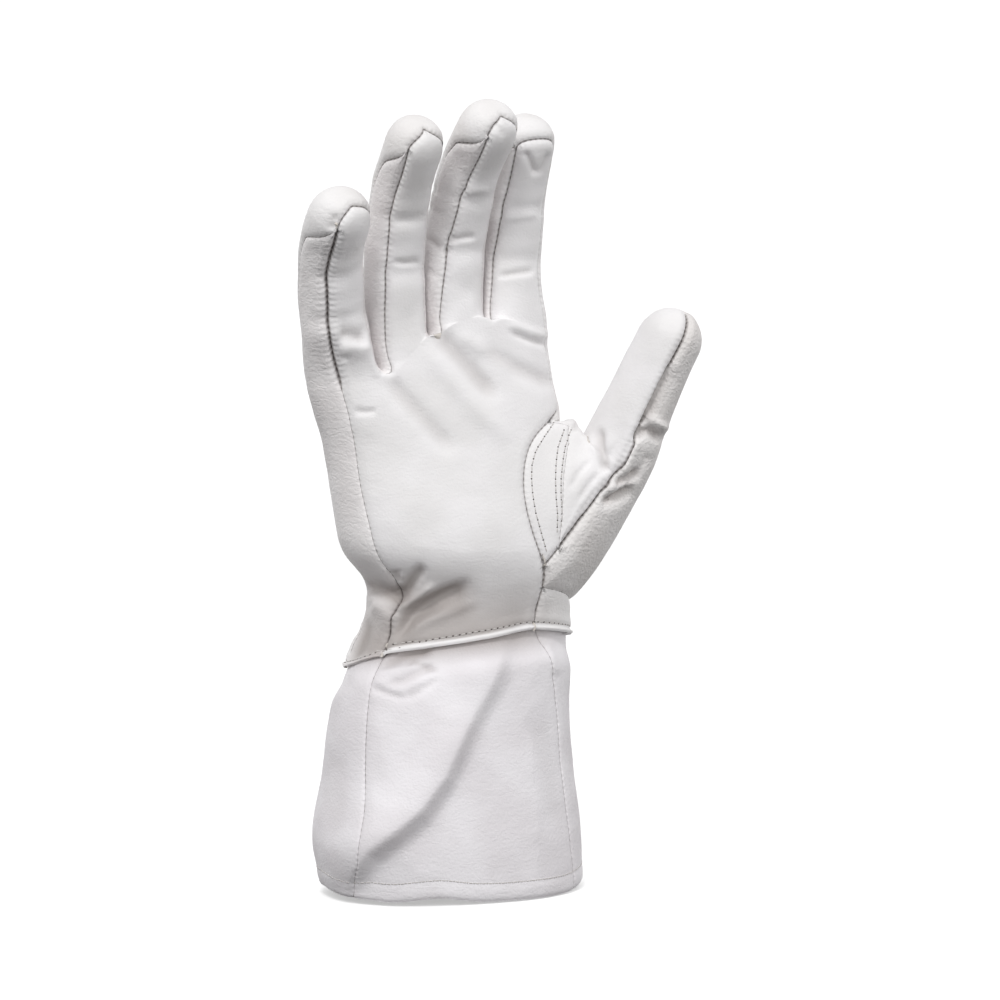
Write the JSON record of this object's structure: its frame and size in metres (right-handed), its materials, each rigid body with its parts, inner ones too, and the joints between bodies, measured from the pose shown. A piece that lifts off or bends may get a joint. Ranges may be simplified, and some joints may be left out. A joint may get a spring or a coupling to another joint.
{
  "type": "gauntlet glove",
  "caption": "Right hand leather gauntlet glove in its worn shape: slightly curled fingers, inset thumb with a crescent reinforcement, gathered wrist and a flared open cuff.",
  "frame": {"origin": "middle of the wrist opening, in the plane of the highest point of the cuff's hem, where the arm goes in", "axes": "+Z from the wrist opening to the finger tips, the palm faces -Y, the thumb is on +X"},
  "size_m": [0.1659, 0.0824, 0.3126],
  "materials": {
    "palm_leather": "smooth white grain leather, satin",
    "back_leather": "white grain leather, satin",
    "side_leather": "white grain leather, soft satin",
    "grain_leather": "pebbled white grain leather",
    "cuff_leather": "fine grain white leather, matt"
  },
  "bodies": {
    "root": {"palm_panel": "palm_leather", "back_panel": "back_leather", "little_back": "back_leather", "ring_back": "back_leather", "middle_back": "back_leather", "index_back": "back_leather", "little_side_strip": "side_leather", "fourchette_little_ring": "side_leather", "fourchette_ring_middle": "side_leather", "fourchette_middle_index": "side_leather", "thumb_front": "palm_leather", "thumb_back": "grain_leather", "thumb_crescent": "palm_leather", "cuff_front": "cuff_leather", "cuff_back": "cuff_leather"}
  },
  "joints": []
}
